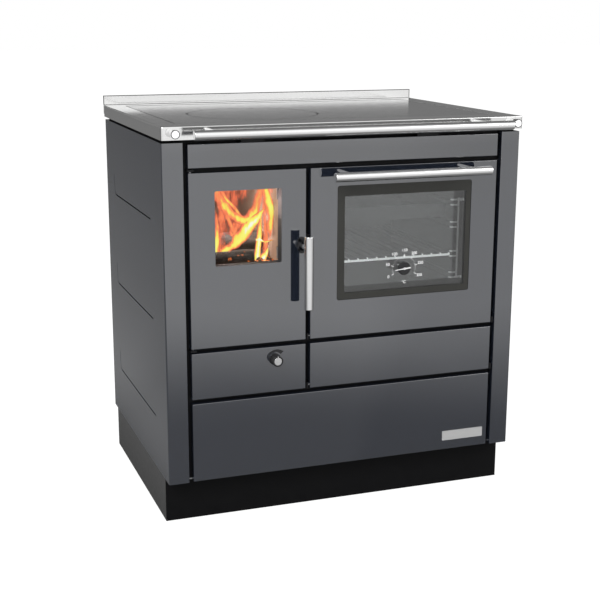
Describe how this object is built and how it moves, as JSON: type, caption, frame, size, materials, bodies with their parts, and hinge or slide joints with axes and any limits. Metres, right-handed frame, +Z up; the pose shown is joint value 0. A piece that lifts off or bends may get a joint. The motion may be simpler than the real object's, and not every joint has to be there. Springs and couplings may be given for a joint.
{
  "type": "wood cookstove",
  "caption": "Freestanding wood-fired kitchen cookstove with glazed fire door, glazed baking oven, ash and wood drawers, hob plate and front rail.",
  "frame": {"origin": "on the floor, under the middle of the cabinet between its side panels and between its front and back faces", "axes": "+X to the right seen from the front, +Y towards the back, +Z up"},
  "size_m": [0.804, 0.6878, 0.871],
  "materials": {
    "anthracite_enamel": "gloss",
    "side_sheet": "satin",
    "black_steel": "matte",
    "plinth_grey": "matte",
    "stainless": "satin",
    "satin_bar": "satin",
    "galvanised": "satin",
    "cast_plate": "satin",
    "grate_iron": "matte",
    "firebrick": "matte",
    "split_wood": "matte",
    "clear_glass": "polished",
    "rope_seal": "matte",
    "knob_black": "matte",
    "polished_cap": "polished",
    "oven_enamel": "gloss",
    "zinc_wire": "polished",
    "needle_red": "matte"
  },
  "bodies": {
    "cabinet": {"floor_plate": "black_steel", "plinth_surround": "plinth_grey", "plinth_front": "black_steel", "carcass_base": "galvanised", "left_side_panel": "side_sheet", "right_side_panel": "side_sheet", "heat_shields": "galvanised", "back_panel": "galvanised", "back_screws": "zinc_wire", "front_frame": "black_steel", "fascia": "anthracite_enamel", "top_ring": "black_steel", "hob_frame": "stainless", "cooktop_plate": "cast_plate", "rear_upstand": "stainless", "rail_bar": "satin_bar", "rail_posts": "satin_bar", "firebox_casing": "black_steel", "fire_grate": "grate_iron", "firebricks": "firebrick", "firewood_logs": "split_wood", "smoke_case": "galvanised", "oven_cavity": "oven_enamel", "rack_ladders": "zinc_wire", "wire_shelf": "zinc_wire", "baking_tray": "oven_enamel", "rear_spigots": "black_steel", "drawer_runners": "galvanised", "hinge_brackets": "black_steel"},
    "fire_door": {"fire_door_panel": "anthracite_enamel", "fire_door_liner": "black_steel", "fire_door_glass": "clear_glass", "glass_clips": "galvanised", "fire_door_seal": "rope_seal", "fire_handle_rosette": "knob_black"},
    "fire_latch": {"fire_handle_bar": "satin_bar", "fire_handle_hub": "satin_bar", "latch_tongue": "black_steel"},
    "oven_door": {"oven_door_panel": "anthracite_enamel", "oven_outer_glass": "clear_glass", "oven_inner_glass": "clear_glass", "oven_door_liner": "black_steel", "oven_door_seal": "rope_seal", "oven_handle_bar": "satin_bar", "oven_handle_posts": "satin_bar", "thermometer_hub": "knob_black"},
    "thermometer_needle": {"thermometer_pointer": "needle_red"},
    "ash_drawer": {"ash_front_panel": "anthracite_enamel", "ash_front_liner": "black_steel", "ash_pan": "galvanised"},
    "air_control": {"air_knob": "knob_black", "air_knob_cap": "polished_cap", "air_register": "galvanised"},
    "soot_flap": {"soot_flap_panel": "anthracite_enamel", "soot_flap_liner": "black_steel"},
    "wood_drawer": {"wood_drawer_front": "anthracite_enamel", "wood_drawer_box": "galvanised", "badge_plate": "polished_cap"},
    "left_slide": {"left_air_slide": "satin_bar"},
    "right_slide": {"right_air_slide": "satin_bar"}
  },
  "joints": [
    {"name": "fire_door_hinge", "type": "hinge", "parent": "cabinet", "child": "fire_door", "pos_m": [-0.341, -0.2785, 0.572], "axis": [0, 0, -1], "range_deg": [0, 110]},
    {"name": "fire_latch_turn", "type": "hinge", "parent": "fire_door", "child": "fire_latch", "pos_m": [-0.1055, -0.2865, 0.595], "axis": [0, 1, 0], "range_deg": [0, 75]},
    {"name": "oven_door_hinge", "type": "hinge", "parent": "cabinet", "child": "oven_door", "pos_m": [0.13025, -0.2785, 0.395], "axis": [1, 0, 0], "range_deg": [0, 90]},
    {"name": "thermometer_needle_turn", "type": "hinge", "parent": "oven_door", "child": "thermometer_needle", "pos_m": [0.13025, -0.289, 0.5282], "axis": [0, 1, 0], "range_deg": [-16, 204]},
    {"name": "ash_drawer_slide", "type": "slide", "parent": "cabinet", "child": "ash_drawer", "axis": [0, -1, 0], "range_m": [0, 0.3]},
    {"name": "air_knob_turn", "type": "hinge", "parent": "ash_drawer", "child": "air_control", "pos_m": [-0.1651, -0.2865, 0.3527], "axis": [0, 1, 0], "range_deg": [0, 150]},
    {"name": "soot_flap_hinge", "type": "hinge", "parent": "cabinet", "child": "soot_flap", "pos_m": [0.13025, -0.2785, 0.286], "axis": [1, 0, 0], "range_deg": [0, 90]},
    {"name": "wood_drawer_slide", "type": "slide", "parent": "cabinet", "child": "wood_drawer", "axis": [0, -1, 0], "range_m": [0, 0.4]},
    {"name": "left_air_slide_pull", "type": "slide", "parent": "cabinet", "child": "left_slide", "axis": [0, -1, 0], "range_m": [0, 0.05]},
    {"name": "right_air_slide_pull", "type": "slide", "parent": "cabinet", "child": "right_slide", "axis": [0, -1, 0], "range_m": [0, 0.05]}
  ]
}
